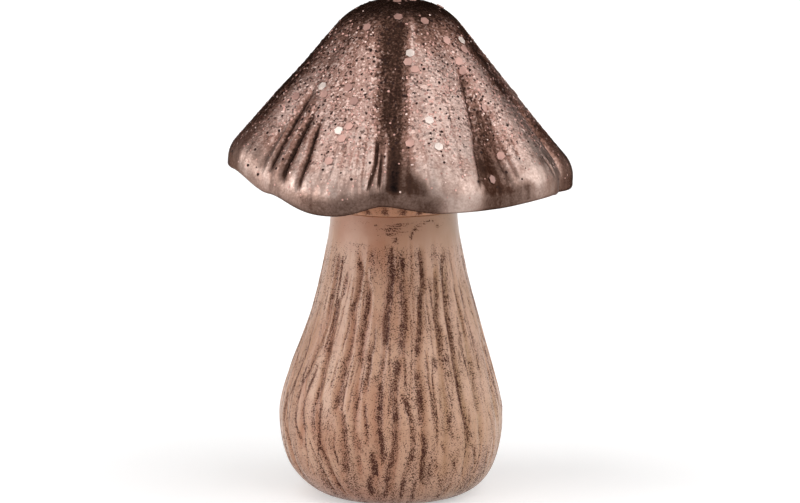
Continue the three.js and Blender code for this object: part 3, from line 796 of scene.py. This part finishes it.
def wanderingStroke(draw, form, place, heights):
    drift = np.cumsum(draw.uniform(-2, 2, len(heights)))
    return draw.uniform(*form["strength"]), draw.uniform(*form["half"]), *zip(place + drift, heights)


def backStrokes():
    form = stemForm["backStrokes"]
    draw = np.random.default_rng(form["seed"])
    lines = []
    for index in range(form["count"]):
        for top, bottom in form["levels"]:
            place = form["start"] + form["sweep"] * (index + draw.uniform(0.1, 0.9)) / form["count"]
            heights = np.linspace(top + draw.uniform(-9, 3), bottom + draw.uniform(-3, 9), 4)
            lines.append(wanderingStroke(draw, form, place, heights))
    return lines


def thinStrokes():
    form = stemForm["thinStrokes"]
    draw = np.random.default_rng(form["seed"])
    lines = []
    for index in range(form["count"]):
        place = 360 * (index + draw.uniform(0, 1)) / form["count"]
        top = draw.uniform(*form["top"])
        heights = np.linspace(top, max(form["lowest"], top - draw.uniform(*form["length"])), 4)
        lines.append(wanderingStroke(draw, form, place, heights))
    return lines


mainGrooves = pressedLines()
strokes = stemForm["strokes"] + backStrokes() + thinStrokes()


def pressMarks(azimuth, height):
    marks = np.zeros(np.broadcast(azimuth, height).shape)
    fade = stemForm["pressFade"]
    for line in mainGrooves:
        places, heights = np.array(line).T
        away = turnedBy(azimuth - np.interp(height, heights, places)) / stemForm["pressTurn"]
        ends = smooth((height - heights[0]) / fade + 0.5) * smooth((heights[-1] - height) / fade + 0.5)
        marks = np.maximum(marks, np.exp(-away**2) * ends)
    return marks


def strokeMarks(azimuth, height, radius):
    sharp = np.zeros(np.broadcast(azimuth, height).shape)
    stain = np.zeros_like(sharp)
    fade = stemForm["strokeEnds"]
    crisp, ragged = stemForm["strokeSides"]
    tight, wide = stemForm["speckSides"]
    for index, (strength, half, *line) in enumerate(strokes):
        places, heights = np.array(line)[::-1].T
        away = sideways(azimuth, np.interp(height, heights, places), radius) / half
        away = away * (1 if index % 2 else -1)  # one side is crisp, the other runs out in specks
        ends = smooth((height - heights[0]) / fade + 0.6) * smooth((heights[-1] - height) / fade + 0.6)
        sharp = np.maximum(sharp, strength * np.exp(-away**2) * ends)
        body = away / np.where(away < 0, crisp, ragged)
        stain = np.maximum(stain, strength * np.exp(-body**4) * ends)
        specks = away / np.where(away > 0, wide, tight)
        stain = np.maximum(stain, 0.5 * strength * np.exp(-specks**2) * ends)
    return sharp, stain


def smudgeMarks(azimuth, height, radius):
    marks = np.zeros(np.broadcast(azimuth, height).shape)
    for strength, place, level, halfWide, halfHigh in stemForm["smudges"]:
        away = sideways(azimuth, place, radius) / halfWide
        marks = np.maximum(marks, strength * np.exp(-away**2 - ((height - level) / halfHigh) ** 2))
    return marks


def stemTones(azimuth, height, radius, stain, hairs):
    form = stemForm
    spot = form["glow"]
    # painted shade: the front below the neck darker and redder, where the sides catch the sheen and the
    # front does not
    aside = turnedBy(azimuth - spot["place"]) / spot["turn"]
    glow = np.exp(-aside**2 - ((height - spot["height"]) / spot["half"]) ** 2)
    patchy = 0.5 + 0.5 * roundNoise(azimuth, height, 8, 0.07, 6.6)
    dustAndShade = 0.36 * smooth((patchy - 0.42) / 0.3) * (0.7 + 0.5 * hairs)
    nearFoot = 1 - ramp(height, form["nearFootFade"])
    dustAndShade = dustAndShade + 0.22 * glow + 0.22 * nearFoot  # painted shade at the front below the neck, with more patina specks there, and darker towards the foot
    tan = np.clip(0.45 + 0.55 * np.sin(np.radians(2 * azimuth - 30)) + 0.5 * (patchy - 0.5), 0, 1)
    broken = 0.8 + 0.4 * roundNoise(azimuth, height, 16, 0.3, 3.3)
    patinaAndShade = np.maximum(1.1 * stain * broken * (0.8 + 0.3 * patchy), dustAndShade)
    patinaAndShade = patinaAndShade * (1 - ramp(height, form["strokeFade"]))
    clean = 0.25 * ramp(height, form["cleanFade"])  # hardly a speck on the neck
    smudges = 1.3 * smudgeMarks(azimuth, height, radius)
    patinaAndShade = np.clip(np.where(smudges > patinaAndShade, smudges - 0.5 * clean, patinaAndShade - clean), -0.3, 1)
    return patinaAndShade, tan, glow


def addStem():
    form = stemForm
    azimuth = turnsOf(form["columns"])
    neckShare = np.interp(form["neckStart"], stemLine[:, 1], stemRun)
    climb = np.append(np.linspace(0, neckShare, form["bodyRows"], endpoint=False),
                      np.linspace(neckShare, 1, form["neckRows"]))[:, None]
    radius = np.interp(climb, stemRun, stemLine[:, 0])
    height = np.interp(climb, stemRun, stemLine[:, 1])
    slope = np.gradient(np.hstack([radius, height]), climb[:, 0], axis=0)
    outward = unit(np.stack([slope[:, 1], -slope[:, 0]], 1))
    wander = azimuth + 0.3 * roundNoise(azimuth, height, 9, 0.2, 2.2)
    pressed = pressMarks(azimuth, height)
    sharp, stain = strokeMarks(wander, height, radius)
    hairs = roundNoise(wander, height, 30, 0.04, 9.4)
    dents = roundNoise(azimuth, height, 5, 0.05, 4.1)
    body = plateau(height, *form["reliefEnds"])
    relief = form["hairs"] * hairs + form["dents"] * dents - form["pressDepth"] * pressed
    relief = body * (relief + form["swell"]) - form["strokeDepth"] * sharp
    shift = form["bellyShift"] * plateau(height, *form["bellyEnds"])
    skin = onAxis(azimuth, radius + outward[:, :1] * relief, height + outward[:, 1:] * relief, shift)
    under = tube(azimuth, form["recessRadius"], form["recessHeight"], form["foot"][0][1])
    over = tube(azimuth, form["spigot"], form["neck"][-1][1], form["spigotTop"])
    rings = np.concatenate([*under, skin, *over])[::-1]
    stem = addRings("stem", rings, (0, 0, form["spigotTop"]), (0, 0, form["recessHeight"]))
    patinaAndShade, tan, glow = stemTones(azimuth, height, radius, stain, hairs)
    # paler raised ribs: rubbed wear and a painted highlight, held back in the painted shade below the neck
    ribWearAndHighlight = body * np.clip(1 - pressed - 0.8 * sharp + 0.3 * hairs - 0.9 * glow, 0, 1)
    edges = np.zeros((2, form["columns"]))
    for name, values in (("patinaAndShade", patinaAndShade), ("ribWearAndHighlight", ribWearAndHighlight), ("tan", tan)):
        paint(stem, name, np.concatenate([edges, values, edges])[::-1])
    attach(stem, "root")
    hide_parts("stem_shell")
    return stem


bisque = {
    "clay": (0.405, 0.177, 0.094), "ochre": (0.415, 0.228, 0.116), "pale": (0.525, 0.3, 0.193),
    "film": (0.25, 0.088, 0.044), "patinaAndShade": (0.045, 0.012, 0.008),
    "amount": 0.94, "gloss": 0.34, "gleam": 0.2,
}
# painted light: a lighter copy of the bisque for the gilled plate, making up for the shade under the brim
lightenedUndersideBisque = {
    "clay": (0.56, 0.27, 0.155), "ochre": (0.58, 0.31, 0.175), "pale": (0.62, 0.33, 0.2),
    "film": (0.4, 0.15, 0.075), "patinaAndShade": (0.05, 0.014, 0.009),
    "amount": 0.85, "gloss": 0.4, "gleam": 0.2,
}


def bisqueFinish(name, look):
    finish, tree, shader = newFinish(name)
    cloudy = noiseNode(tree, 90, 3)
    speck = noiseNode(tree, 3000, 2, 0.65)
    brushed = noiseNode(tree, 700, 2, 0.6)
    # the raised ribs paler: rubbed wear and a painted highlight
    ribs = sumOf(spread(cloudy, 0.35, 0.65, -0.3, 0.3), painted(tree, "ribWearAndHighlight"), 0.8)
    ground = mixColours(painted(tree, "tan"), look["clay"], look["ochre"])
    ground = mixColours(held(ribs, 0, 1), ground, look["pale"])
    film = product(held(painted(tree, "patinaAndShade"), 0.05, 0.8), 0.45)
    ground = mixColours(film, ground, look["film"])  # thin brown left round the strokes, and in the painted shade below the neck
    worn = sumOf(painted(tree, "patinaAndShade"), swing(speck, -0.5, 0.5), 1.18)
    worn = sumOf(worn, swing(brushed, -0.5, 0.5), 0.35)
    wiped = spread(worn, 0.42, 0.68, 0, look["amount"])
    colour = mixColours(wiped, ground, look["patinaAndShade"])
    rough = spread(wiped, 0, 1, 0.5, 0.8)
    glaze = held(wiped, 0.8, 0)  # the wiped colour lies matt on the glaze
    feed(shader, {"Base Color": colour, "Roughness": rough, "Specular IOR Level": look["gleam"]})
    feed(shader, {"Coat Weight": glaze, "Coat Roughness": look["gloss"]})
    addBump(shader, sumOf(brushed, speck, 0.5), 0.25, 0.15)
    return finish


stem = addStem()
stem.data.materials.append(bisqueFinish("stemBisque", bisque))
plate.data.materials.append(bisqueFinish("lightenedUndersideBisque", lightenedUndersideBisque))
print("stem", len(stem.data.vertices), "points")

# Felt disc under the foot
feltForm = {
    "radius": 15, "thickness": 1.6, "edge": 0.5, "columns": 160, "rows": 9, "fuzz": 0.06,
    "colour": (0.1, 0.07, 0.055),
}


def addFelt():
    form = feltForm
    azimuth = turnsOf(form["columns"])
    turns = np.linspace(math.pi / 2, -math.pi / 2, form["rows"])[:, None]
    half = form["thickness"] / 2
    fuzz = form["fuzz"] * roundNoise(azimuth, turns, 40, 4, 2.9)
    rim = onAxis(azimuth, form["radius"] - form["edge"] + form["edge"] * np.cos(turns) + fuzz,
                 half + half * np.sin(turns))
    flat = form["radius"] - 2 * form["edge"]
    rings = np.concatenate([onAxis(azimuth, flat, form["thickness"]), rim, onAxis(azimuth, flat, 0)])
    felt = addRings("feltDisc", rings, (0, 0, form["thickness"]), (0, 0, 0))
    finish, tree, shader = newFinish("brownFelt")
    fibre = noiseNode(tree, 1400, 4, 0.7)
    deep = tuple(0.6 * part for part in form["colour"])
    mottle(shader, fibre, deep, form["colour"])
    feed(shader, {"Roughness": 0.95, "Sheen Weight": 0.4})
    addBump(shader, fibre, 0.6, 0.2)
    felt.data.materials.append(finish)
    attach(felt, "root")
    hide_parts("base_felt")


addFelt()
print("felt disc")

# Cement between the pieces keeps its solids
cementLook = {
    "nodes": ("neck_cement", "rim_cement"), "light": (0.62, 0.58, 0.51), "deep": (0.45, 0.41, 0.36),
}


def finishCement():
    finish, tree, shader = newFinish("paleCement")
    grit = noiseNode(tree, 900, 4, 0.65)
    mottle(shader, grit, cementLook["light"], cementLook["deep"])
    feed(shader, {"Roughness": 0.9})
    addBump(shader, grit, 0.5, 0.2)
    for name in cementLook["nodes"]:
        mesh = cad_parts[name].data
        mesh.materials.clear()
        mesh.materials.append(finish)


finishCement()
print("cement finished")

# Glitter: large six-sided flakes at the places of the solids, and fine flakes that thin out to the lip
largeFlakes = {
    "width": 2.4, "thickness": 0.15, "bevel": 0.12, "lift": 0.1, "tilt": 3, "seed": 5, "metal": 0.2,
    "tones": {
        "champagne": {"colour": (0.95, 0.79, 0.71), "rough": 0.28, "gleam": 0.5},
        "rose": {"colour": (0.62, 0.35, 0.29), "rough": 0.34, "gleam": 0.5},
        "brown": {"colour": (0.42, 0.23, 0.19), "rough": 0.38, "gleam": 0.4},
    },
}
fineFlakes = {
    "seed": 8, "thickness": 0.05, "bevel": 0.02, "lift": 0.03, "metal": 0.3,
    "top": 0.03, "bottom": 0.97, "thinFrom": 0.58, "thinMost": 0.88, "density": 1.4, "tries": 6,
    "tones": {
        "rose": {"count": 2400, "size": (0.32, 0.7), "tilt": 16, "shun": 0.95, "rough": 0.25,
                 "colour": (0.66, 0.36, 0.3), "gleam": 0.5},
        "champagne": {"count": 850, "size": (0.3, 0.62), "tilt": 14, "shun": 0.97, "rough": 0.2,
                      "colour": (0.92, 0.66, 0.58), "gleam": 0.5},
        "brown": {"count": 1000, "size": (0.25, 0.85), "tilt": 16, "shun": 0, "rough": 0.4,
                  "colour": (0.035, 0.015, 0.012), "gleam": 0.1},
    },
}


def flakeFrames(azimuth, share, draw, tilt):
    place = capSkin(azimuth, share)
    normal = normalOf(capSkin, azimuth, share)
    side = unit(np.cross(normal, draw.normal(size=normal.shape)))
    lean = np.radians(draw.uniform(-tilt, tilt, len(place)))[:, None]
    normal = unit(normal * np.cos(lean) + side * np.sin(lean))
    side = unit(np.cross(normal, np.cross(side, normal)))
    return place, normal, side


def flakeMesh(name, frames, width, look):
    place, normal, side = frames
    across = np.cross(normal, side)
    corner = np.radians(np.arange(6) * 60)
    reach = (np.asarray(width) / math.sqrt(3)).reshape(-1, 1, 1)
    rim = np.cos(corner)[:, None] * side[:, None] + np.sin(corner)[:, None] * across[:, None]
    base = place[:, None] + normal[:, None] * look["lift"]
    up = normal[:, None] * look["thickness"]
    layers = [base + rim * reach, base + up * 0.6 + rim * reach, base + up + rim * (reach - look["bevel"])]
    points = np.concatenate(layers, 1).reshape(-1, 3)
    pattern = [(5, 4, 3, 2, 1, 0), (12, 13, 14, 15, 16, 17)]
    for ring in (0, 6):
        pattern += [(ring + k, ring + (k + 1) % 6, ring + 6 + (k + 1) % 6, ring + 6 + k) for k in range(6)]
    faces = [tuple(18 * index + k for k in face) for index in range(len(place)) for face in pattern]
    return addMesh(name, points, faces, False)


def flakeFinish(name, look, metal):
    finish, tree, shader = newFinish(name)
    tint = noiseNode(tree, 320, 1)
    deep = tuple(0.72 * part for part in look["colour"])
    mottle(shader, tint, deep, look["colour"])
    rough = swing(tint, look["rough"] - 0.06, look["rough"] + 0.08)
    feed(shader, {"Metallic": metal, "Specular IOR Level": look["gleam"], "Roughness": rough})
    return finish


def nearestShare(azimuth, point):
    shares = np.linspace(0.01, 1, 600)
    gaps = np.linalg.norm(capBase(np.full_like(shares, azimuth), shares) - point, axis=1)
    return shares[np.argmin(gaps)]


def addLargeFlakes():
    look = largeFlakes
    draw = np.random.default_rng(look["seed"])
    for tone, finish in look["tones"].items():
        nodes = sorted(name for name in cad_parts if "_flake_" + tone in name)
        places = []
        for name in nodes:
            low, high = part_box(name)
            middle = np.array((low + high) / 2) / mm
            azimuth = math.degrees(math.atan2(middle[0] - leanAt(middle[2]), -middle[1]))
            places.append((azimuth, nearestShare(azimuth, middle)))
        azimuth, share = np.array(places).T
        frames = flakeFrames(azimuth, share, draw, look["tilt"])
        piece = flakeMesh("flakes." + tone, frames, look["width"], look)
        piece.data.materials.append(flakeFinish("flake." + tone, finish, look["metal"]))
        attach(piece, "root")
        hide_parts(*nodes)
        print("large flakes", tone, len(nodes))


def addFineFlakes():
    look = fineFlakes
    draw = np.random.default_rng(look["seed"])
    for tone, finish in look["tones"].items():
        tries = finish["count"] * look["tries"]
        azimuth = draw.uniform(-180, 180, tries)
        share = draw.uniform(look["top"], look["bottom"], tries)
        radius = capProfile(azimuth, share)[0]
        thin = 1 - look["thinMost"] * ramp(share, (look["thinFrom"], look["bottom"]))
        # the rose and champagne flakes keep out of the painted shade
        shunned = 1 - finish["shun"] * np.clip(capPaintedShade(azimuth, share), 0, 1)
        chance = radius / capForm["reach"] * thin * shunned * look["density"]
        keep = draw.uniform(0, 1, tries) < chance
        azimuth = azimuth[keep][:finish["count"]]
        share = share[keep][:finish["count"]]
        frames = flakeFrames(azimuth, share, draw, finish["tilt"])
        width = draw.uniform(*finish["size"], len(share))
        piece = flakeMesh("fineGlitter." + tone, frames, width, look)
        piece.data.materials.append(flakeFinish("fine." + tone, finish, look["metal"]))
        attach(piece, "root")
        print("fine flakes", tone, len(share))


addLargeFlakes()
addFineFlakes()

bpy.context.view_layer.update()
